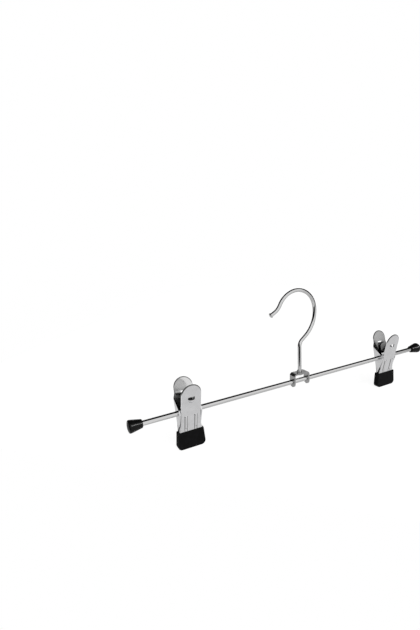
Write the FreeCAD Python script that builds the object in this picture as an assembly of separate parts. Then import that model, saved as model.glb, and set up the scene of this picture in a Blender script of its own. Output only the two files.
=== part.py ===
import FreeCAD, Part
import math
import os
from FreeCAD import Vector

# A skirt hanger: a wire hook that swivels in a bent strip yoke, a round bar through the yoke, a
# vinyl cap on each end of the bar, and two spring clips that slide and swing on the bar.
# Sizes are in millimetres and degrees. Shapes are drawn about the bar's axis, along X, with the
# clips' front towards -Y. save() lowers them, so the origin is where the hook rests on a rail.

# Bar and end caps
hanger_length = 300.0           # over the two caps
bar_diameter = 4.0
cap_length = 10.8
cap_small_diameter = 6.4        # at the open end, which faces the clip
cap_large_diameter = 9.6        # at the closed outer end
cap_end_wall = 1.8
cap_land = 1.6                  # straight stretch at the large diameter
cap_edge_radius = 1.2
cap_lip_chamfer = 0.4
cap_dome = 0.6
press_fit = 0.03                # room round a piece that is pressed or moulded on

# Yoke
yoke_width = 16.0               # over the two legs
yoke_depth = 6.4
yoke_sheet = 1.2
yoke_top = 7.3                  # top face above the bar's axis
yoke_foot = -4.6                # lowest point of the legs, which end in a half round
yoke_bend_radius = 2.4          # outside of the two bends

# Hook
hook_wire = 3.2
hook_inside_diameter = 33.9
hook_offset = 2.8               # from the swivel's axis to the crown's centre
saddle_height = 76.4            # from the bar's axis to the rail's rest inside the crown
neck_lean = 51.4                # of the neck, away from the swivel's axis
neck_height = 33.3              # where the neck's line leaves the swivel's axis
neck_bend_radius = 7.0
crown_start = 16.0              # where the side gives way to the crown, counted from +X
crown_end = 152.6               # where the crown gives way to the lip
lip_radius = 12.7
lip_turn = 35.0
lip_straight = 3.5
tip_head_diameter = 4.2
tip_head_dome = 0.8
rivet_diameter = 5.8
rivet_dome = 0.9
head_edge = 0.7                 # straight edge of the tip's head and of the rivet
stop_span = 5.0                 # over the two pinched ears that sit on the yoke
stop_height = 4.2
stop_edge = 1.1                 # upright side of each ear
stop_thickness = 1.2
swivel_play = 0.1               # room between the hook and the yoke

# Clip leaves
clip_spacing = 207.0            # between the middles of the two clips
leaf_sheet = 0.9
handle_top = 24.0               # above the bar's axis
handle_width = 15.7
leaf_bend_radius = 2.0
leaf_edge_radius = 0.42
flare_start = -8.8              # below here the leaf widens to the jaw
jaw_top_width = 18.8            # of the metal, at the top edge of the tip
jaw_foot_width = 21.0           # of the metal, at the bottom edge of the jaw
jaw_corner_radius = 2.0
jaw_rise = 1.9                  # of the jaw's upright inner face above the top edge of the tip
coil_room = 0.27                # between a leaf and the spring's coil, which sets the leaf's lean
shoulder_top = 13.0             # the rear leaf widens from its handle to its ears here
shoulder_bottom = 9.8
shoulder_radius = 2.0
ear_gap = 0.25                  # between a front ear and the rear ear outside it
rear_ear_top = 9.6
rear_ear_foot = -14.3
rear_ear_foot_depth = 1.5       # of the rear ear at its foot, from the leaf's outer face
rear_eye_radius = 4.6
front_ear_top = 7.5
front_ear_foot = -5.5
front_eye_room = 0.3            # between the front ear's eye and the rear leaf
running_fit = 0.08              # room round the bar in the ears

# Pressed features of each leaf
bead_spacing = 7.9
bead_width = 2.4
bead_height = 0.55
bead_top = -1.6                 # above the bar's axis
bead_bottom = -13.0
lance_height = 12.2             # mouth of the scoop above the bar's axis
lance_width = 6.2
lance_bulge = 1.7
lance_slot = 1.6                # height of the open slot above the mouth
lance_sheet = 0.7               # the metal thins where it is drawn

# Jaw tips
tip_top = -15.2
tip_bottom = -29.4
tip_gap = 0.2                   # between the two tips of a closed clip
tip_grip_wall = 0.9             # on the gripping side of the metal
tip_face_wall = 0.55            # on the outer side
tip_side_wall = 0.9
tip_foot_wall = 1.1
tip_corner_radius = 3.4
tip_top_radius = 0.6
tip_face_edge = 0.5
tip_grip_chamfer = 0.3

# Torsion spring of each clip
spring_wire = 1.2
spring_bar_room = 0.3           # between the coil and the bar
spring_gap = 0.6                # between the turns
spring_half_turns = 3           # from the rear arm, under the bar, to the front arm
spring_arm_length = 13.3
spring_arm_room = 0.12          # between an arm's end and its leaf
spring_foot_length = 5.0        # bent end of an arm, behind the slot
spring_bend_radius = 1.6

# Sizes that follow from those above
bar_radius = bar_diameter / 2
cap_open_end = hanger_length / 2 - cap_length
bar_half_length = hanger_length / 2 - cap_end_wall
wire_radius = hook_wire / 2
crown_radius = hook_inside_diameter / 2 + wire_radius
crown_height = saddle_height - math.sqrt((hook_inside_diameter / 2) ** 2 - hook_offset ** 2)
handle_half = handle_width / 2
jaw_top_half = jaw_top_width / 2
jaw_foot_half = jaw_foot_width / 2
rear_ear_outside = handle_half + ear_gap + leaf_sheet
jaw_inside = tip_gap / 2 + tip_grip_wall + press_fit
jaw_outside = jaw_inside + leaf_sheet
jaw_foot = tip_bottom + tip_foot_wall + press_fit
coil_radius = bar_radius + spring_bar_room + spring_wire / 2
spring_pitch = spring_wire + spring_gap
inside_bend = tip_top + jaw_rise
leaf_clear = coil_radius + spring_wire / 2 + coil_room      # from the bar's axis to a leaf
bend_reach = math.hypot(jaw_inside, inside_bend)
lean = math.asin(leaf_clear / bend_reach) - math.atan2(jaw_inside, -inside_bend)
leaf_bend = inside_bend - leaf_sheet * math.tan(lean / 2)

X_AXIS = Vector(1, 0, 0)
Z_AXIS = Vector(0, 0, 1)
ORIGIN = Vector(0, 0, 0)


def save(name, shape):
    """Write one piece, lowered so that the origin is the hook's rest on the rail."""
    piece = shape.copy()
    piece.translate(Vector(0, 0, -saddle_height))
    solids = piece.Solids
    print(name, "solids", len(solids), "valid", piece.isValid(), "volume %.2f" % piece.Volume)
    solids[0].exportStep("parts/%s.step" % name)


def polar(centre, radius, degrees):
    """A point on a circle in the XZ plane."""
    angle = math.radians(degrees)
    return centre + Vector(radius * math.cos(angle), 0, radius * math.sin(angle))


def arc_edge(start, middle, end):
    return Part.Arc(start, middle, end).toShape()


def line_edge(start, end):
    return Part.LineSegment(start, end).toShape()


def rounded(corners, closed=True):
    """Wire through (point, radius) corners, each corner with a radius made a tangent arc."""
    stops = []
    for i, (corner, radius) in enumerate(corners):
        if radius == 0:
            stops.append((corner, corner, corner))
            continue
        back = (corners[i - 1][0] - corner).normalize()
        ahead = (corners[(i + 1) % len(corners)][0] - corner).normalize()
        half_turn = (math.pi - back.getAngle(ahead)) / 2
        reach = radius * math.tan(half_turn)
        inward = (back + ahead).normalize()
        middle = corner + inward * (radius / math.cos(half_turn) - radius)
        stops.append((corner + back * reach, middle, corner + ahead * reach))
    edges = []
    for i, (start, middle, end) in enumerate(stops):
        if start != end:
            edges.append(arc_edge(start, middle, end))
        following = stops[(i + 1) % len(stops)][0]
        if (closed or i + 1 < len(stops)) and end.distanceToPoint(following) > 1e-6:
            edges.append(line_edge(end, following))
    return Part.Wire(edges)


def slab(wire, direction):
    """Solid swept from a closed flat wire, half to each side of it."""
    face = Part.Face(wire)
    face.translate(direction * -0.5)
    return face.extrude(direction)


def rim(shape, facing):
    """Edges round a skin: those of the faces that look along facing, less the ones between them."""
    edges = []
    for face in shape.Faces:
        low_u, high_u, low_v, high_v = face.ParameterRange
        if face.normalAt((low_u + high_u) / 2, (low_v + high_v) / 2).dot(facing) > 0.9:
            edges.extend(face.Edges)
    return [edge for edge in edges if sum(edge.isSame(other) for other in edges) == 1]


def bar_hole(radius, length=hanger_length):
    return Part.makeCylinder(radius, length, Vector(-length / 2, 0, 0), X_AXIS)


# Bar and caps

def make_bar():
    return bar_hole(bar_radius, 2 * bar_half_length)


def dome_arc(start, apex):
    """Arc in the plane of an axis, from a rim point to the axis, where it ends square to it."""
    rise = apex.x - start.x
    radius = (start.y ** 2 + rise ** 2) / (2 * rise)
    half = math.asin(start.y / radius) / 2
    middle = Vector(apex.x - radius * (1 - math.cos(half)), radius * math.sin(half), 0)
    return arc_edge(start, middle, apex)


def turned(edges):
    """Solid of revolution about X, from the edges of a closed outline."""
    return Part.Face(Part.Wire(edges)).revolve(ORIGIN, X_AXIS, 360)


def make_cap():
    """Right-hand cap, turned about the bar: a taper with a blind bore and a slightly domed end."""
    end = hanger_length / 2
    bore = bar_radius + press_fit
    large = cap_large_diameter / 2
    rim_end = end - cap_dome
    dome_start = Vector(rim_end, large - cap_edge_radius, 0)
    lip = cap_small_diameter / 2
    outside = rounded([
        (Vector(cap_open_end, bore, 0), 0),
        (Vector(cap_open_end, lip - cap_lip_chamfer, 0), 0),
        (Vector(cap_open_end + cap_lip_chamfer, lip, 0), 0),
        (Vector(rim_end - cap_land, large, 0), cap_edge_radius),
        (Vector(rim_end, large, 0), cap_edge_radius),
        (dome_start, 0),
    ], closed=False)
    inside = rounded([
        (Vector(end, 0, 0), 0),
        (Vector(bar_half_length, 0, 0), 0),
        (Vector(bar_half_length, bore, 0), 0),
        (Vector(cap_open_end, bore, 0), 0),
    ], closed=False)
    return turned(outside.Edges + [dome_arc(dome_start, Vector(end, 0, 0))] + inside.Edges)


# Yoke

def make_yoke():
    """Strip bent to an upside-down U, with round leg ends and a hole for the hook."""
    half = yoke_width / 2
    foot = yoke_foot - yoke_sheet
    inner = half - yoke_sheet
    under = yoke_top - yoke_sheet
    inside_radius = yoke_bend_radius - yoke_sheet
    bent = slab(rounded([
        (Vector(-half, 0, foot), 0),
        (Vector(-half, 0, yoke_top), yoke_bend_radius),
        (Vector(half, 0, yoke_top), yoke_bend_radius),
        (Vector(half, 0, foot), 0),
        (Vector(inner, 0, foot), 0),
        (Vector(inner, 0, under), inside_radius),
        (Vector(-inner, 0, under), inside_radius),
        (Vector(-inner, 0, foot), 0),
    ]), Vector(0, yoke_depth, 0))
    front = -yoke_depth / 2
    back = yoke_depth / 2
    round_start = yoke_foot + yoke_depth / 2
    legs = slab(Part.Wire([
        line_edge(Vector(0, back, round_start), Vector(0, back, yoke_top)),
        line_edge(Vector(0, back, yoke_top), Vector(0, front, yoke_top)),
        line_edge(Vector(0, front, yoke_top), Vector(0, front, round_start)),
        arc_edge(Vector(0, front, round_start), Vector(0, 0, yoke_foot), Vector(0, back, round_start)),
    ]), Vector(yoke_width, 0, 0))
    shank_hole = Part.makeCylinder(wire_radius + swivel_play, yoke_top, ORIGIN, Z_AXIS)
    return bent.common(legs).cut(bar_hole(bar_radius + press_fit)).cut(shank_hole)


# Hook

def hook_path():
    """Centre line of the hook's wire: shank, leaning neck, side, round crown and out-turned lip."""
    heading = 90 - neck_lean
    across_neck = polar(ORIGIN, 1, heading + 90)
    shank_foot = Vector(0, 0, yoke_top - yoke_sheet - swivel_play)
    corner = Vector(0, 0, neck_height)
    crown = Vector(-hook_offset, 0, crown_height)
    # The side is a wider arc, tangent to the neck's line and to the crown.
    outward = polar(ORIGIN, 1, crown_start)
    crown_distance = (crown - corner).dot(across_neck)
    side_extra = (crown_distance - crown_radius) / (1 + outward.dot(across_neck))
    side_radius = crown_radius + side_extra
    side = crown - outward * side_extra
    side_start = side - across_neck * side_radius
    side_middle = polar(side, side_radius, (heading - 90 + crown_start) / 2)
    side_finish = polar(crown, crown_radius, crown_start)
    crown_middle = polar(crown, crown_radius, (crown_start + crown_end) / 2)
    crown_finish = polar(crown, crown_radius, crown_end)
    lip = polar(crown, crown_radius + lip_radius, crown_end)
    lip_start = crown_end + 180
    lip_middle = polar(lip, lip_radius, lip_start - lip_turn / 2)
    lip_finish = polar(lip, lip_radius, lip_start - lip_turn)
    tip_heading = polar(ORIGIN, 1, lip_start - lip_turn - 90)
    tip = lip_finish + tip_heading * lip_straight
    edges = rounded([(shank_foot, 0), (corner, neck_bend_radius), (side_start, 0)], closed=False).Edges
    edges.append(arc_edge(side_start, side_middle, side_finish))
    edges.append(arc_edge(side_finish, crown_middle, crown_finish))
    edges.append(arc_edge(crown_finish, lip_middle, lip_finish))
    edges.append(line_edge(lip_finish, tip))
    return Part.Wire(edges), shank_foot, tip, tip_heading


def button(radius, edge, dome, base, direction):
    """Round head with a straight edge and a domed face, standing on base."""
    rim_start = Vector(edge, radius, 0)
    apex = Vector(edge + dome, 0, 0)
    sides = rounded([(apex, 0), (ORIGIN, 0), (Vector(0, radius, 0), 0), (rim_start, 0)], closed=False)
    head = turned(sides.Edges + [dome_arc(rim_start, apex)])
    head.Placement = FreeCAD.Placement(base, FreeCAD.Rotation(X_AXIS, direction))
    return head


def stop_ears():
    """The two flat ears that a pinch squeezes out of the shank, resting on the yoke."""
    foot = yoke_top + swivel_play
    half = stop_span / 2
    return slab(Part.makePolygon([
        Vector(-half, 0, foot),
        Vector(half, 0, foot),
        Vector(half, 0, foot + stop_edge),
        Vector(0, 0, foot + stop_height),
        Vector(-half, 0, foot + stop_edge),
        Vector(-half, 0, foot),
    ]), Vector(0, stop_thickness, 0))


def make_hook():
    path, shank_foot, tip, tip_heading = hook_path()
    section = Part.Wire(Part.makeCircle(wire_radius, shank_foot, Z_AXIS))
    wire = path.makePipeShell([section], True, False)
    tip_head = button(tip_head_diameter / 2, head_edge, tip_head_dome, tip, tip_heading)
    rivet = button(rivet_diameter / 2, head_edge, rivet_dome, shank_foot, -Z_AXIS)
    return wire.fuse([tip_head, rivet, stop_ears()]).removeSplitter()


# Clip leaves, drawn as the front leaf: its outer face looks towards -Y

def leaf_point(height, depth):
    """Point in the leaf's middle plane X = 0, at a height and a depth under its leaning outer face."""
    along = (height - leaf_bend - depth * math.sin(lean)) / math.cos(lean)
    return Vector(0, -jaw_outside + depth * math.cos(lean) - along * math.sin(lean), height)


def leaf_outline(ear_outside, grow=0.0):
    """Front view of a leaf: round handle top, straight or shouldered sides and a flared jaw."""
    right = [(Vector(handle_half, 0, handle_top), handle_half)]
    if ear_outside > handle_half:
        right.append((Vector(handle_half, 0, shoulder_top), shoulder_radius))
        right.append((Vector(ear_outside, 0, shoulder_bottom), shoulder_radius))
    right.append((Vector(ear_outside + grow, 0, flare_start), jaw_corner_radius))
    right.append((Vector(jaw_top_half + grow, 0, tip_top), jaw_corner_radius))
    right.append((Vector(jaw_foot_half + grow, 0, jaw_foot - grow), jaw_corner_radius + grow))
    left = [(Vector(-point.x, 0, point.z), radius) for point, radius in reversed(right)]
    return rounded(right + left)


def leaf_plate(ear_outside):
    above = handle_top + leaf_sheet
    side_view = rounded([
        (Vector(0, -jaw_outside, jaw_foot), 0),
        (Vector(0, -jaw_outside, leaf_bend), leaf_bend_radius),
        (leaf_point(above, 0), 0),
        (leaf_point(above, leaf_sheet), 0),
        (Vector(0, -jaw_inside, inside_bend), leaf_bend_radius + leaf_sheet),
        (Vector(0, -jaw_inside, jaw_foot), 0),
    ])
    bent = slab(side_view, Vector(4 * ear_outside, 0, 0))
    plate = bent.common(slab(leaf_outline(ear_outside), Vector(0, 4 * handle_top, 0)))
    return plate.makeFillet(leaf_edge_radius, rim(plate, Vector(0, -1, 0)))


def ear(outside, eye_radius, top, foot):
    """Right-hand ear: a web from the leaf, drawn tangent round an eye about the bar."""
    def touch(point, side):
        angle = math.atan2(point.z, point.y) + side * math.acos(eye_radius / point.Length)
        return Vector(0, eye_radius * math.cos(angle), eye_radius * math.sin(angle))
    root = leaf_sheet / 2
    upper = leaf_point(top, root)
    lower = leaf_point(foot.z, root)
    upper_touch = touch(upper, -1)
    lower_touch = touch(foot, 1)
    edges = [
        line_edge(upper, upper_touch),
        arc_edge(upper_touch, (upper_touch + lower_touch).normalize() * eye_radius, lower_touch),
        line_edge(lower_touch, foot),
        line_edge(lower, upper),
    ]
    if foot.distanceToPoint(lower) > 1e-6:
        edges.insert(3, line_edge(foot, lower))
    web = Part.Face(Part.Wire(edges)).extrude(Vector(leaf_sheet, 0, 0))
    web.translate(Vector(outside - leaf_sheet, 0, 0))
    return web


def on_leaf(shape, height):
    """Set a shape, drawn on a leaf lying in the plane Y = 0, on the leaning face at a height."""
    shape.rotate(ORIGIN, X_AXIS, math.degrees(lean))
    shape.translate(leaf_point(height, 0))
    return shape


def capsule(radius, length):
    """Round-ended rod along Z from the origin, measured between the centres of its ends."""
    end = Vector(0, 0, length)
    low = [polar(ORIGIN, radius, degrees) for degrees in (-90, -45, 0)]
    high = [polar(end, radius, degrees) for degrees in (0, 45, 90)]
    side = [arc_edge(*low), line_edge(low[2], high[0]), arc_edge(*high), line_edge(high[2], low[0])]
    return Part.Face(Part.Wire(side)).revolve(ORIGIN, Z_AXIS, 360)


def add_bead(leaf, x):
    """Press a long bead outwards: raised on the outer face, hollow behind it."""
    radius = (bead_width ** 2 / 4 + bead_height ** 2) / (2 * bead_height)
    depth = radius - bead_height
    length = (bead_top - bead_bottom - bead_width) / math.cos(lean)
    low = bead_bottom + bead_width / 2
    keep = Part.makeBox(bead_width, bead_height + leaf_sheet / 2, length + 2 * radius,
                        Vector(-bead_width / 2, -bead_height, -radius))
    outer = capsule(radius, length).translate(Vector(0, depth, 0)).common(keep)
    hollow = capsule(radius - leaf_sheet, length).translate(Vector(0, depth, 0))
    for shape in (outer, hollow):
        on_leaf(shape, low).translate(Vector(x, 0, 0))
    return leaf.fuse(outer).cut(hollow)


def add_lance(leaf):
    """Cut a slot and press the metal below it outwards, as a scoop that is open at the top."""
    radius = (lance_width ** 2 / 4 + lance_bulge ** 2) / (2 * lance_bulge)
    depth = radius - lance_bulge
    centre = Vector(0, depth, 0)
    below = Part.makeBox(lance_width, lance_bulge + leaf_sheet / 2, lance_width,
                         Vector(-lance_width / 2, -lance_bulge, -lance_width))
    scoop = Part.makeSphere(radius, centre).common(below)
    inner = Part.makeSphere(radius - lance_sheet, centre)
    open_half = Part.makeBox(lance_width, 2 * lance_width, lance_width,
                             Vector(-lance_width / 2, -lance_width, -lance_width))
    slot = Part.makeBox(lance_width - leaf_sheet, 4 * leaf_sheet, lance_slot,
                        Vector((leaf_sheet - lance_width) / 2, -2 * leaf_sheet, 0))
    hollow = inner.common(open_half)
    for shape in (scoop, hollow, slot):
        on_leaf(shape, lance_height)
    return leaf.fuse(scoop).cut(hollow).cut(slot)


def make_leaf(ear_outside, eye_radius, ear_top, ear_foot):
    right_ear = ear(ear_outside, eye_radius, ear_top, ear_foot)
    left_ear = right_ear.mirror(ORIGIN, X_AXIS)
    leaf = leaf_plate(ear_outside).fuse([right_ear, left_ear])
    for side in (-1, 1):
        leaf = add_bead(leaf, side * bead_spacing / 2)
    leaf = add_lance(leaf)
    return leaf.cut(bar_hole(bar_radius + running_fit)).removeSplitter()


def make_front_leaf():
    foot = leaf_point(front_ear_foot, leaf_sheet / 2)
    return make_leaf(handle_half, leaf_clear - front_eye_room, front_ear_top, foot)


def make_rear_leaf():
    foot = leaf_point(rear_ear_foot, rear_ear_foot_depth)
    leaf = make_leaf(rear_ear_outside, rear_eye_radius, rear_ear_top, foot)
    return leaf.rotate(ORIGIN, Z_AXIS, 180)


# Jaw tips

def make_tip(ear_outside):
    """Soft sleeve over one jaw, drawn for the front leaf: a pocket that is open at the top."""
    flare = (jaw_foot_half - jaw_top_half) / (tip_top - jaw_foot)
    top_half = jaw_top_half + tip_side_wall
    foot_half = top_half + flare * (tip_top - tip_bottom)
    thickness = tip_grip_wall + tip_face_wall + leaf_sheet + 2 * press_fit
    middle = -(tip_gap + thickness) / 2
    front_view = rounded([
        (Vector(top_half, middle, tip_top), tip_top_radius),
        (Vector(foot_half, middle, tip_bottom), tip_corner_radius),
        (Vector(-foot_half, middle, tip_bottom), tip_corner_radius),
        (Vector(-top_half, middle, tip_top), tip_top_radius),
    ])
    sleeve = slab(front_view, Vector(0, thickness, 0))
    sleeve = sleeve.makeFillet(tip_face_edge, rim(sleeve, Vector(0, -1, 0)))
    sleeve = sleeve.makeChamfer(tip_grip_chamfer, rim(sleeve, Vector(0, 1, 0)))
    pocket = slab(leaf_outline(ear_outside, press_fit), Vector(0, leaf_sheet + 2 * press_fit, 0))
    pocket.translate(Vector(0, -(jaw_inside + jaw_outside) / 2, 0))
    return sleeve.cut(pocket)


# Torsion spring

def arc_from(start, heading, end):
    """Arc that leaves start along heading and ends at end."""
    chord = end - start
    along = Vector(chord).normalize()
    bulge = (heading - along * heading.dot(along)).normalize()
    height = chord.Length / 2 * math.tan(heading.getAngle(chord) / 2)
    return arc_edge(start, start + chord * 0.5 + bulge * height, end)


def biarc(start, start_heading, end, end_heading):
    """Two arcs that join two points along given headings."""
    chord = end - start
    total = start_heading + end_heading
    spread = 2 * (1 - start_heading.dot(end_heading))
    lean_in = chord.dot(total)
    reach = (math.sqrt(lean_in ** 2 + spread * chord.dot(chord)) - lean_in) / spread
    knee = (start + start_heading * reach + end - end_heading * reach) * 0.5
    first = arc_from(start, start_heading, knee)
    second = arc_from(end, -end_heading, knee)
    return [first, second.reversed()]


def arm_angle():
    """Lean of a spring arm, from its tangent on the coil to its end against the leaf."""
    gap = leaf_clear - spring_wire / 2 - spring_arm_room - coil_radius
    return lean + math.asin(gap / spring_arm_length)


def spring_path():
    """Rear arm, coil and front arm. The coil turns from the rear side down and round the bar."""
    arm = arm_angle()
    start_angle = -arm
    sweep = spring_half_turns * math.pi - 2 * arm
    steps = math.ceil(sweep / math.pi)
    step = sweep / steps
    rise = spring_pitch / (2 * math.pi)
    half_length = rise * sweep / 2

    def on_coil(i):
        angle = start_angle - i * step
        across = coil_radius * math.cos(angle)
        up = coil_radius * math.sin(angle)
        point = Vector(rise * i * step - half_length, across, up)
        heading = Vector(rise, up, -across)
        if i in (0, steps):
            heading.x = 0
        return point, heading.normalize()

    first, first_heading = on_coil(0)
    last, last_heading = on_coil(steps)
    rear_end = first - first_heading * spring_arm_length
    front_end = last + last_heading * spring_arm_length
    inward = X_AXIS * spring_foot_length
    rear_arm = [(rear_end + inward, 0), (rear_end, spring_bend_radius), (first, 0)]
    front_arm = [(last, 0), (front_end, spring_bend_radius), (front_end - inward, 0)]
    edges = rounded(rear_arm, closed=False).Edges
    for i in range(steps):
        start, start_heading = on_coil(i)
        end, end_heading = on_coil(i + 1)
        edges.extend(biarc(start, start_heading, end, end_heading))
    edges.extend(rounded(front_arm, closed=False).Edges)
    return Part.Wire(edges), rear_end + inward


def least_self_gap(path):
    """Least free space between stretches of the wire that lie half a turn or more apart."""
    step = spring_wire / 4
    points = path.discretize(Distance=step)
    half_turn = int(math.pi * coil_radius / step)
    nearest = min(
        points[i].distanceToPoint(points[j])
        for i in range(len(points))
        for j in range(i + half_turn, len(points))
    )
    return nearest - spring_wire


def make_spring():
    path, start = spring_path()
    section = Part.Wire(Part.makeCircle(spring_wire / 2, start, X_AXIS))
    print("spring least gap to itself %.3f" % least_self_gap(path))
    return path.makePipeShell([section], True, False)


os.makedirs("parts", exist_ok=True)
save("hook", make_hook())
save("yoke", make_yoke())
save("bar", make_bar())
right_cap = make_cap()
save("right_end_cap", right_cap)
save("left_end_cap", right_cap.rotate(ORIGIN, Z_AXIS, 180))

clip_pieces = {
    "front_leaf": make_front_leaf(),
    "rear_leaf": make_rear_leaf(),
    "front_jaw_tip": make_tip(handle_half),
    "rear_jaw_tip": make_tip(rear_ear_outside).rotate(ORIGIN, Z_AXIS, 180),
    "spring": make_spring(),
}
for side, sign in (("left", -1), ("right", 1)):
    for name, piece in clip_pieces.items():
        placed = piece.copy()
        placed.translate(Vector(sign * clip_spacing / 2, 0, 0))
        save("%s_clip_%s" % (side, name), placed)
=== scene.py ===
# %% [markdown]
# # A skirt hanger, dressed for its picture
# The hanger is a round steel bar with two spring clips on it, black vinyl caps on its ends, and a
# wire hook that swivels in a bent strip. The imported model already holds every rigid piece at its
# real size, so this script only adds what a drawing of sizes can't: finishes, light and a camera,
# and the two torsion springs, which have to follow two moving leaves at once.

# %% Load the frame
import math

import bpy
from mathutils import Matrix, Vector


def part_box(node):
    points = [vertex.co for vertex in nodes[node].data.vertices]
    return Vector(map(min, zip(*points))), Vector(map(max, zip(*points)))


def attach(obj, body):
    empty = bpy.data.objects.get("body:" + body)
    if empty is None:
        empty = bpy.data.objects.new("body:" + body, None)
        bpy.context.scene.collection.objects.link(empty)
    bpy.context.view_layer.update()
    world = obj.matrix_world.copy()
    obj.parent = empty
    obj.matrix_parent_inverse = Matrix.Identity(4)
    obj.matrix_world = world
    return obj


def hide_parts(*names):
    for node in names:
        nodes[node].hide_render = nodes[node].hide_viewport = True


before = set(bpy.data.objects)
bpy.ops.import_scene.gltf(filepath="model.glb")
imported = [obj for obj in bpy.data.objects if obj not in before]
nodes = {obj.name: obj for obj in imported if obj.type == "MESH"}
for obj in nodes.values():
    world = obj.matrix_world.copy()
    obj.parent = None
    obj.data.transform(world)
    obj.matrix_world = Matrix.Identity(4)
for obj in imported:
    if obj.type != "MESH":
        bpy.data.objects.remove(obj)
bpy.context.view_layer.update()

bar_low, bar_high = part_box("bar")
bar_height = (bar_low.z + bar_high.z) / 2
print("pieces in the frame:", sorted(nodes))

# %% [markdown]
# ## Camera
# The camera stands where the photographer stood: to the left of the hanger, a little above it and
# close, so the far clip looks much smaller than the near one. The numbers come from fitting a
# camera to the bar, the clips and the hook. The lens follows from the picture's height in pixels,
# because a sensor of 36 mm lies along the longer side of the picture.

# %% Place the camera
picture_height = 630
focal_pixels = 380.94
sensor_length = 36.0
camera_place = Vector((-0.1965, -0.2446, bar_height + 0.1319))
turn_right = math.radians(25.237)
look_down = math.radians(12.958)
roll = math.radians(3.462)

bpy.ops.object.select_all(action="DESELECT")
bpy.ops.object.camera_add()
camera = bpy.context.object
camera.name = "camera"
camera.data.sensor_width = sensor_length
camera.data.lens = focal_pixels / picture_height * sensor_length
camera.data.clip_start = 0.01
camera.matrix_world = (
    Matrix.Translation(camera_place)
    @ Matrix.Rotation(-turn_right, 4, "Z")
    @ Matrix.Rotation(math.pi / 2 - look_down, 4, "X")
    @ Matrix.Rotation(-roll, 4, "Z")
)
bpy.context.scene.camera = camera
print("lens %.2f mm" % camera.data.lens)

# %% [markdown]
# ## Studio
# Chrome has no colour of its own: it shows the room. In a room that is white all round it would
# vanish on a white ground, so this one is what a photographer builds for metal: a white sweep
# behind, white walls and a black ceiling. Every round piece then gets a thin dark line along its
# upper edge. Two dark screens with leaning edges complete it. One stands to the front and left, and
# draws the line down the hook. The other stands to the right, and thickens the bar's line towards
# its far end. The world makes this room by direction, and rays from the camera see plain white.

# %% Helpers for node trees


def link_or_set(tree, socket, value):
    """Feed a socket from another node, or give it a fixed value."""
    if isinstance(value, bpy.types.NodeSocket):
        tree.links.new(value, socket)
    else:
        socket.default_value = value


def math_node(tree, operation, first, second):
    """Result of a Math node on two inputs."""
    node = tree.nodes.new("ShaderNodeMath")
    node.operation = operation
    link_or_set(tree, node.inputs[0], first)
    link_or_set(tree, node.inputs[1], second)
    return node.outputs[0]


def soft_step(tree, value, zero_at, one_at):
    """0 at one value, 1 at another and a smooth rise between them."""
    step = tree.nodes.new("ShaderNodeMapRange")
    step.interpolation_type = "SMOOTHSTEP"
    step.inputs["From Min"].default_value = zero_at
    step.inputs["From Max"].default_value = one_at
    tree.links.new(value, step.inputs["Value"])
    return step.outputs["Result"]


def band(tree, value, rise, fall):
    """1 between a rise and a fall, each given in degrees as its start and its end."""
    up = soft_step(tree, value, *[math.radians(angle) for angle in rise])
    down = soft_step(tree, value, *[math.radians(angle) for angle in fall])
    return math_node(tree, "SUBTRACT", up, down)


def leaning(tree, bearing, height, lean):
    """Bearing, at the horizon, of an edge that leans right by lean degrees for each degree of height."""
    return math_node(tree, "SUBTRACT", bearing, math_node(tree, "MULTIPLY", height, lean))


# %% Colour the world by direction
ceiling_back = 28, 34               # degrees above the horizon behind
ceiling_front = 111, 119
front_screen_left = -160, -152      # degrees to the right of the hanger's front
front_screen_right = -37, -29
front_screen_lean = -1.6            # degrees to the right for each degree of height
front_screen_low = -30, -25         # degrees above the horizon
front_screen_high = 24, 36
side_screen_near = 42, 54
side_screen_far = 125, 135
side_screen_lean = 0.45
side_screen_foot = -16, -10

bpy.context.scene.view_settings.view_transform = "Standard"
world = bpy.data.worlds.new("studio")
bpy.context.scene.world = world
world.use_nodes = True
world_tree = world.node_tree
sky = world_tree.nodes.new("ShaderNodeTexCoord")
part = world_tree.nodes.new("ShaderNodeSeparateXYZ")
world_tree.links.new(sky.outputs["Generated"], part.inputs["Vector"])
east, north, up = part.outputs
south = math_node(world_tree, "MULTIPLY", north, -1.0)
bearing = math_node(world_tree, "ARCTAN2", east, south)
height = math_node(world_tree, "ARCSINE", up, 0.0)
ceiling = band(world_tree, math_node(world_tree, "ARCTAN2", up, north), ceiling_back, ceiling_front)
edge = leaning(world_tree, bearing, height, front_screen_lean)
front_screen = math_node(world_tree, "MULTIPLY",
                         band(world_tree, edge, front_screen_left, front_screen_right),
                         band(world_tree, height, front_screen_low, front_screen_high))
edge = leaning(world_tree, bearing, height, side_screen_lean)
above_foot = soft_step(world_tree, height, *[math.radians(angle) for angle in side_screen_foot])
side_screen = math_node(world_tree, "MULTIPLY",
                        band(world_tree, edge, side_screen_near, side_screen_far), above_foot)
screens = math_node(world_tree, "MAXIMUM", front_screen, side_screen)
dark = math_node(world_tree, "MAXIMUM", ceiling, screens)
room = math_node(world_tree, "SUBTRACT", 1.0, dark)
rays = world_tree.nodes.new("ShaderNodeLightPath")
mix = world_tree.nodes.new("ShaderNodeMix")
world_tree.links.new(rays.outputs["Is Camera Ray"], mix.inputs["Factor"])
world_tree.links.new(room, mix.inputs["A"])
mix.inputs["B"].default_value = 1.0
background = world_tree.nodes["Background"]
background.inputs["Color"].default_value = (1, 1, 1, 1)
world_tree.links.new(mix.outputs["Result"], background.inputs["Strength"])
print("the studio's world has", len(world_tree.nodes), "nodes")

# %% [markdown]
# ### Floor
# The floor is a white table, and its straight near edge shows in the chrome. A Light Path node tells
# rays apart: to the camera the table glows nearly white, in reflections it glows less, and its paint
# takes the hanger's shadow.

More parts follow.
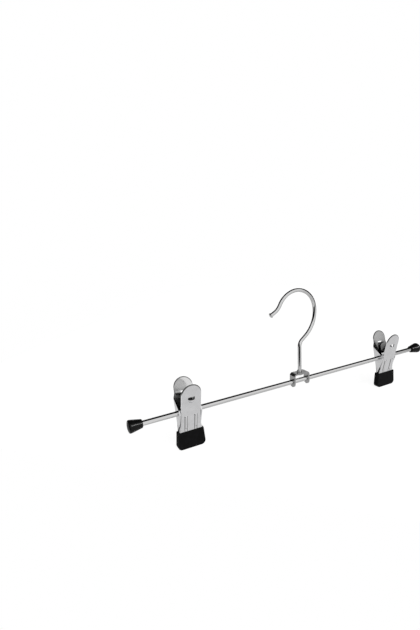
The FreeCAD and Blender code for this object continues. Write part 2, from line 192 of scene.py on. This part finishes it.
# %% Lay the floor
floor_gap = 0.0003                  # under the lowest tip
floor_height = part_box("left_clip_front_jaw_tip")[0].z - floor_gap
floor_size = 0.8
floor_front = 0.112                 # from the hook's axis to the table's near edge
floor_turn = math.radians(-45)      # the near edge faces the camera
floor_paint = 0.5
floor_white = 0.9                   # glow for the camera
floor_glow = 0.55                   # glow in reflections
floor_middle = Matrix.Rotation(floor_turn, 3, "Z") @ Vector((0, floor_size / 2 - floor_front, 0))
bpy.ops.object.select_all(action="DESELECT")
bpy.ops.mesh.primitive_plane_add(size=floor_size, rotation=(0, 0, floor_turn),
                                 location=(floor_middle.x, floor_middle.y, floor_height))
floor = bpy.context.object
floor.name = "floor"

pale = bpy.data.materials.new("pale_floor")
pale.use_nodes = True
tree = pale.node_tree
shader = tree.nodes["Principled BSDF"]
shader.inputs["Base Color"].default_value = (floor_paint, floor_paint, floor_paint, 1)
shader.inputs["Roughness"].default_value = 1.0
shader.inputs["Specular IOR Level"].default_value = 0.0
shader.inputs["Emission Color"].default_value = (1, 1, 1, 1)
rays = tree.nodes.new("ShaderNodeLightPath")
mirrored = math_node(tree, "ADD", rays.outputs["Is Glossy Ray"], rays.outputs["Is Transmission Ray"])
mirrored = math_node(tree, "MULTIPLY", mirrored, floor_glow)
seen = math_node(tree, "MULTIPLY", rays.outputs["Is Camera Ray"], floor_white)
tree.links.new(math_node(tree, "ADD", seen, mirrored), shader.inputs["Emission Strength"])
floor.data.materials.append(pale)
print("floor at %.4f m" % floor_height)

# %% [markdown]
# ### Lamp
# The black caps need a streak to look round, but a lamp bright enough to draw it would burn out the
# thin dark lines on the chrome. So one long strip lamp stands in front, above and to the right, and
# light linking keeps it on the two caps alone.

# %% Set up the strip lamp
lamp_place = (0.46, -0.65, 0.34)
lamp_tilt = math.radians(57)
lamp_length = 0.5
lamp_depth = 0.1
lamp_power = 6.0
caps = ["left_end_cap", "right_end_cap"]
bpy.ops.object.light_add(type="AREA", location=lamp_place, rotation=(lamp_tilt, 0, 0))
lamp = bpy.context.object
lamp.name = "strip_lamp"
lamp.data.shape = "RECTANGLE"
lamp.data.size = lamp_length
lamp.data.size_y = lamp_depth
lamp.data.energy = lamp_power
lit = bpy.data.collections.new("lit_by_strip_lamp")
for name in caps:
    lit.objects.link(nodes[name])
lamp.light_linking.receiver_collection = lit
print("strip lamp on", ", ".join(caps))

# %% [markdown]
# ## Finishes
# Every finish is a Principled shader with patterns on the piece's own coordinates, so they stay on
# the metal when a clip slides or a hook turns. Four small helpers make the patterns: grain is noise
# that can be drawn out along an axis, spread maps it to a range, tint maps it to two colours, and
# relief turns it into fine bumps.

# %% Helpers for finishes


def new_finish(name):
    """A new material, its node tree and its shader."""
    material = bpy.data.materials.new(name)
    material.use_nodes = True
    return material, material.node_tree, material.node_tree.nodes["Principled BSDF"]


def grain(tree, size, drawn=(1, 1, 1)):
    """Noise whose spots are size metres wide, drawn out along each axis by a factor."""
    place = tree.nodes.new("ShaderNodeTexCoord")
    mapping = tree.nodes.new("ShaderNodeMapping")
    mapping.inputs["Scale"].default_value = [1 / factor for factor in drawn]
    noise = tree.nodes.new("ShaderNodeTexNoise")
    noise.inputs["Scale"].default_value = 1 / size
    noise.inputs["Detail"].default_value = 3
    tree.links.new(place.outputs["Object"], mapping.inputs["Vector"])
    tree.links.new(mapping.outputs["Vector"], noise.inputs["Vector"])
    return noise.outputs["Fac"]


def spread(tree, pattern, low, high):
    """Map the middle of a noise pattern, where most of its values lie, to a range."""
    middle_low, middle_high = 0.3, 0.7
    ramp = tree.nodes.new("ShaderNodeMapRange")
    ramp.inputs["From Min"].default_value = middle_low
    ramp.inputs["From Max"].default_value = middle_high
    ramp.inputs["To Min"].default_value = low
    ramp.inputs["To Max"].default_value = high
    tree.links.new(pattern, ramp.inputs["Value"])
    return ramp.outputs["Result"]


def tint(tree, pattern, dark, light):
    """Map a noise pattern to a run of two colours."""
    mix = tree.nodes.new("ShaderNodeMix")
    mix.data_type = "RGBA"
    mix.inputs["A"].default_value = (*dark, 1)
    mix.inputs["B"].default_value = (*light, 1)
    tree.links.new(spread(tree, pattern, 0, 1), mix.inputs["Factor"])
    return mix.outputs["Result"]


def relief(tree, shader, pattern, height):
    """Bump the shader's surface by a pattern that is height metres deep."""
    bump = tree.nodes.new("ShaderNodeBump")
    bump.inputs["Strength"].default_value = 1.0
    bump.inputs["Distance"].default_value = height
    tree.links.new(pattern, bump.inputs["Height"])
    tree.links.new(bump.outputs["Normal"], shader.inputs["Normal"])


def dress(material, *names):
    """Give CAD nodes a finish."""
    for name in names:
        nodes[name].material_slots[0].material = material
    print(material.name, "on", ", ".join(names))


# %% [markdown]
# ### Chrome
# The hook, the bar and the yoke are steel with a chrome plate, bright on the wire and duller on the
# yoke. On a mirror like that only very fine marks show: soft clouds of polish in the roughness, and
# on the drawn bar faint lines along its length.

# %% Chrome of the bar, the hook and the yoke


def chrome(name, drawn, shades, polish):
    """Plate of two grey shades, with a polish that runs along the drawn direction."""
    material, tree, shader = new_finish(name)
    shader.inputs["Metallic"].default_value = 1.0
    haze = grain(tree, size=0.006, drawn=drawn)
    lines = grain(tree, size=0.0003, drawn=drawn)
    dark, light = [(shade, shade, shade) for shade in shades]
    tree.links.new(tint(tree, haze, dark, light), shader.inputs["Base Color"])
    tree.links.new(spread(tree, haze, *polish), shader.inputs["Roughness"])
    relief(tree, shader, lines, height=0.000002)
    return material


dress(chrome("bar_plate", drawn=(12, 1, 1), shades=(0.61, 0.67), polish=(0.03, 0.06)), "bar")
dress(chrome("hook_plate", drawn=(1, 1, 1), shades=(0.60, 0.66), polish=(0.03, 0.06)), "hook")
dress(chrome("yoke_plate", drawn=(1, 1, 1), shades=(0.36, 0.46), polish=(0.20, 0.30)), "yoke")

# %% [markdown]
# ### Clip steel
# The leaves are pressed from plated sheet. They are less of a mirror than the wire: the rolling of
# the sheet leaves a fine grain up and down the leaf, and the presses leave soft clouds. Four marks of
# painted light and shade make it darker, and each is a mask on the leaf's own coordinates: painted
# shade in the fold on each side of a bead and a painted shadow dot at its head, a painted dark
# reflection along the top of a handle, painted shade on the inner face, and deeper painted shade on
# that face towards the bar, round the spring.

# %% Measures for the masks on a leaf
sides = ("left", "right")
leaves = ["%s_clip_%s_leaf" % (side, face) for side in sides for face in ("front", "rear")]
leaf_low, leaf_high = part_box("right_clip_front_leaf")
clip_middle = (leaf_low.x + leaf_high.x) / 2
handle_radius = 0.00785
handle_centre = leaf_high.z - handle_radius
rim_reflection_width = 0.0006
bead_offset = 0.00395               # of a bead's middle from the clip's middle
bead_half = 0.0010
bead_top = bar_height - 0.0016
bead_fade = 0.0008                  # below its top, until the painted shade along it is full
line_half = 0.00012                 # of the painted shade along a bead
head_shadow_radius = 0.0005                 # of the painted shadow dot at a bead's head
deep_shade_top = bar_height + 0.017     # where the deeper painted shade ends
deep_shade_full = bar_height + 0.007   # where it covers all of the inner face
turned_in = -0.2, -0.8              # of a normal away from the bar, from the first to the full inner face
print("clip middle at %.4f m, handle's centre at %.4f m" % (clip_middle, handle_centre))

clip_plate, tree, shader = new_finish("clip_plate")
place = tree.nodes.new("ShaderNodeTexCoord")
axes = tree.nodes.new("ShaderNodeSeparateXYZ")
facing = tree.nodes.new("ShaderNodeSeparateXYZ")
tree.links.new(place.outputs["Object"], axes.inputs["Vector"])
tree.links.new(place.outputs["Normal"], facing.inputs["Vector"])

# %% Masks of painted shade and reflection on the beads, the rim and the inner face


def distance(tree, value, *centres):
    """Fold an axis at one centre after another, which leaves the distance from the last one."""
    for centre in centres:
        value = math_node(tree, "ABSOLUTE", math_node(tree, "SUBTRACT", value, centre), 0.0)
    return value


def radius_of(tree, first, second):
    """Length of the line across a right angle between two lengths."""
    squares = [math_node(tree, "POWER", side, 2.0) for side in (first, second)]
    return math_node(tree, "SQRT", math_node(tree, "ADD", *squares), 0.0)


# Painted shade in the fold along each side of a bead, fading in below the bead's top.
painted_crease_shade = distance(tree, axes.outputs["X"], 0.0, clip_middle, bead_offset, bead_half)
painted_crease_shade = soft_step(tree, painted_crease_shade, 3 * line_half, line_half)
below = soft_step(tree, axes.outputs["Z"], bead_top, bead_top - bead_fade)
painted_crease_shade = math_node(tree, "MULTIPLY", painted_crease_shade, below)

# A painted shadow dot at the head of each bead.
aside = distance(tree, axes.outputs["X"], 0.0, clip_middle + bead_half, bead_offset)
along = distance(tree, axes.outputs["Z"], bead_top - head_shadow_radius)
from_head_shadow = radius_of(tree, aside, along)
painted_head_shadow = soft_step(tree, from_head_shadow, head_shadow_radius, head_shadow_radius / 2)

# A painted dark reflection along the round top of a handle, fading out down its sides.
across = distance(tree, axes.outputs["X"], 0.0, clip_middle)
above = math_node(tree, "SUBTRACT", axes.outputs["Z"], handle_centre)
above = math_node(tree, "MAXIMUM", above, 0.0)
from_centre = radius_of(tree, across, above)
painted_rim_reflection = soft_step(tree, from_centre, handle_radius - 1.5 * rim_reflection_width, handle_radius - 0.5 * rim_reflection_width)
painted_rim_reflection = math_node(tree, "MULTIPLY", painted_rim_reflection, soft_step(tree, above, 0.0, handle_radius / 2))

# A face that looks back towards the bar's plane Y = 0 is inside the clip.
side_of_bar = math_node(tree, "SIGN", axes.outputs["Y"], 0.0)
outward = math_node(tree, "MULTIPLY", side_of_bar, facing.outputs["Y"])
# Painted shade on the inner face of each leaf.
inside = soft_step(tree, outward, *turned_in)
# More painted shade on the inner face, growing towards the bar round the spring.
painted_deep_shade = soft_step(tree, axes.outputs["Z"], deep_shade_top, deep_shade_full)
painted_deep_shade = math_node(tree, "MULTIPLY", inside, painted_deep_shade)
print("the masks take", len(tree.nodes), "nodes")

# %% Plated sheet of the clip leaves
# Greys of the painted marks: shade on the inner face, deeper shade round the spring, shade in the bead
# folds, a shadow at each bead's head and a dark reflection on the rim.
painted_inner_grey = 0.68
painted_deep_grey = 0.22
painted_crease_grey = 0.22
painted_head_shadow_grey = 0.06
painted_rim_grey = 0.16
shader.inputs["Metallic"].default_value = 1.0
clouds = grain(tree, size=0.005)
rolled = grain(tree, size=0.00025, drawn=(1, 1, 14))
plate = tint(tree, clouds, dark=(0.73, 0.73, 0.74), light=(0.80, 0.80, 0.81))
for mask, shade in ((inside, painted_inner_grey), (painted_deep_shade, painted_deep_grey), (painted_crease_shade, painted_crease_grey),
                    (painted_head_shadow, painted_head_shadow_grey), (painted_rim_reflection, painted_rim_grey)):
    darker = tree.nodes.new("ShaderNodeMix")
    darker.data_type = "RGBA"
    darker.inputs["B"].default_value = (shade, shade, shade, 1)
    tree.links.new(mask, darker.inputs["Factor"])
    tree.links.new(plate, darker.inputs["A"])
    plate = darker.outputs["Result"]
tree.links.new(plate, shader.inputs["Base Color"])
tree.links.new(spread(tree, rolled, low=0.10, high=0.18), shader.inputs["Roughness"])
relief(tree, shader, rolled, height=0.000004)
dress(clip_plate, *leaves)

# %% [markdown]
# ### Rubber and vinyl
# The jaw tips are moulded rubber, matt and not evenly black. The end caps are smoother vinyl, with a
# soft orange-peel surface on which the strip lamp draws one long highlight.

# %% Rubber of the jaw tips
tips = ["%s_clip_%s_jaw_tip" % (side, face) for side in sides for face in ("front", "rear")]
tip_rubber, tree, shader = new_finish("jaw_tip_rubber")
shader.inputs["Specular IOR Level"].default_value = 0.08
bloom = grain(tree, size=0.004)
skin = grain(tree, size=0.0002)
black = tint(tree, bloom, dark=(0.006, 0.006, 0.006), light=(0.010, 0.010, 0.011))
tree.links.new(black, shader.inputs["Base Color"])
tree.links.new(spread(tree, skin, low=0.5, high=0.68), shader.inputs["Roughness"])
relief(tree, shader, skin, height=0.00002)
dress(tip_rubber, *tips)

# %% Vinyl of the end caps
cap_vinyl, tree, shader = new_finish("end_cap_vinyl")
shader.inputs["Specular IOR Level"].default_value = 0.12
peel = grain(tree, size=0.0006)
wear = grain(tree, size=0.003)
black = tint(tree, wear, dark=(0.003, 0.003, 0.003), light=(0.006, 0.006, 0.006))
tree.links.new(black, shader.inputs["Base Color"])
tree.links.new(spread(tree, wear, low=0.14, high=0.22), shader.inputs["Roughness"])
relief(tree, shader, peel, height=0.00001)
dress(cap_vinyl, *caps)

# %% [markdown]
# ## Springs
# A torsion spring is one wire: an arm behind one leaf, a few turns round the bar, and an arm behind
# the other leaf. When the clip opens, its two arms turn apart, so one mesh can't follow both. It is
# made as two lengths of wire that lie in each other at rest: a coil with its rear arm, which goes
# with the rear leaf, and the front arm with the start of a turn, which goes with the front leaf.
# Each is a ring that a Screw modifier winds into a coil, and whose first end is then extruded into
# the arm. A bevelled curve could do it too, but the Screw takes sweep and pitch as plain numbers.

# %% Sizes of the spring
spring_wire = 0.0012
spring_bar_room = 0.0003
spring_gap = 0.0006
arm_length = 0.0133
arm_bend_radius = 0.0016
foot_length = 0.005
half_turns = 3
tuck = math.radians(36)             # of the coil's end that hides in the front arm's turn
arm_turn = math.radians(44)         # start of a turn on the front arm
thinner = 0.97                      # of the coil's wire, so that it hides in the front arm's

coil_radius = (bar_high.z - bar_low.z) / 2 + spring_bar_room + spring_wire / 2
pitch = spring_wire + spring_gap
spring_low, spring_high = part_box("left_clip_spring")
arm_reach = (spring_high.y - spring_low.y) / 2 - spring_wire / 2
arm_rise = spring_high.z - spring_wire / 2 - bar_height
# The arm leaves the coil along a tangent, so its lean is set by where it ends.
arm_lean = math.atan2(arm_reach, arm_rise) - math.asin(coil_radius / math.hypot(arm_reach, arm_rise))
full_sweep = half_turns * math.pi - 2 * arm_lean
print("coil radius %.2f mm, arm leans %.1f degrees" % (1000 * coil_radius, math.degrees(arm_lean)))

# %% Wind one length of spring wire


def select_ring(piece, centre, radius):
    """Select the vertices of the ring round a centre."""
    bpy.ops.object.mode_set(mode="EDIT")
    bpy.ops.mesh.select_mode(type="VERT")
    bpy.ops.mesh.select_all(action="DESELECT")
    bpy.ops.object.mode_set(mode="OBJECT")
    slack = 1.01
    for vertex in piece.data.vertices:
        vertex.select = (vertex.co - centre).length < radius * slack
    bpy.ops.object.mode_set(mode="EDIT")


def wind(name, wire, sweep):
    """Wire with an arm at the rear, then a stretch of coil about the X axis."""
    ring_points = 16
    points_per_turn = 36
    bend_steps = 8
    start_x = -pitch * full_sweep / (4 * math.pi)
    bpy.ops.object.select_all(action="DESELECT")
    bpy.ops.mesh.primitive_circle_add(vertices=ring_points, radius=wire / 2)
    piece = bpy.context.object
    piece.name = name
    bpy.ops.object.mode_set(mode="EDIT")
    bpy.ops.mesh.select_all(action="SELECT")
    bpy.ops.transform.translate(value=(start_x, coil_radius, 0))
    bpy.ops.object.mode_set(mode="OBJECT")
    coil = piece.modifiers.new("coil", "SCREW")
    coil.axis = "X"
    coil.angle = -sweep
    coil.screw_offset = pitch * sweep / (2 * math.pi)
    coil.steps = coil.render_steps = round(points_per_turn * sweep / (2 * math.pi))
    bpy.ops.object.modifier_apply(modifier="coil")
    # The arm rises from the first ring, bends towards the clip's middle and ends in a foot.
    straight = arm_length - arm_bend_radius
    start = Vector((start_x, coil_radius, 0))
    bend_centre = start + Vector((arm_bend_radius, 0, straight))
    select_ring(piece, start, wire / 2)
    bpy.ops.mesh.extrude_region_move(TRANSFORM_OT_translate={"value": (0, 0, straight)})
    bpy.ops.mesh.spin(steps=bend_steps, angle=-math.pi / 2, center=bend_centre, axis=(0, 1, 0))
    foot = foot_length - arm_bend_radius
    bpy.ops.mesh.extrude_region_move(TRANSFORM_OT_translate={"value": (foot, 0, 0)})
    # Both cut ends are closed.
    bpy.ops.mesh.select_all(action="SELECT")
    bpy.ops.mesh.remove_doubles(threshold=1e-6)
    bpy.ops.mesh.fill_holes(sides=ring_points)
    bpy.ops.mesh.normals_make_consistent(inside=False)
    bpy.ops.object.mode_set(mode="OBJECT")
    bpy.ops.object.shade_smooth_by_angle(angle=math.radians(40))
    return piece


def place_spring(piece, half_turn, middle):
    """Lean the arm to its leaf, turn the wire round for the front if asked, and set it on the bar."""
    bpy.ops.object.select_all(action="DESELECT")
    piece.select_set(True)
    bpy.context.view_layer.objects.active = piece
    piece.matrix_world = (
        Matrix.Translation((middle, 0, bar_height))
        @ Matrix.Rotation(half_turn, 4, "Z")
        @ Matrix.Rotation(-arm_lean, 4, "X")
    )
    bpy.ops.object.transform_apply(location=True, rotation=True, scale=True)


# %% [markdown]
# ### Spring wire
# Wire for springs is tempered in oil, which leaves it nearly black. It could be painted black, but
# a dark metal with spots of scale keeps the glint along the wire.

# %% Finish of the spring wire
spring_steel, tree, shader = new_finish("spring_wire_steel")
shader.inputs["Metallic"].default_value = 1.0
scale_marks = grain(tree, size=0.0012)
fine_marks = grain(tree, size=0.0002)
tempered = tint(tree, scale_marks, dark=(0.03, 0.03, 0.033), light=(0.08, 0.08, 0.083))
tree.links.new(tempered, shader.inputs["Base Color"])
tree.links.new(spread(tree, fine_marks, low=0.22, high=0.38), shader.inputs["Roughness"])
relief(tree, shader, fine_marks, height=0.000004)
print(spring_steel.name, "has", len(tree.nodes), "nodes")

# %% Make both springs
for side in sides:
    node = "%s_clip_spring" % side
    low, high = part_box(node)
    middle = (low.x + high.x) / 2
    coil = wind("%s_spring_coil" % side, spring_wire * thinner, full_sweep - arm_turn + tuck)
    place_spring(coil, 0, middle)
    arm = wind("%s_spring_front_arm" % side, spring_wire, arm_turn)
    place_spring(arm, math.pi, middle)
    for piece, body in ((coil, "%s_clip_rear" % side), (arm, "%s_clip_front" % side)):
        piece.data.materials.append(spring_steel)
        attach(piece, body)
        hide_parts(node)
        print(piece.name, "has", len(piece.data.polygons), "faces")
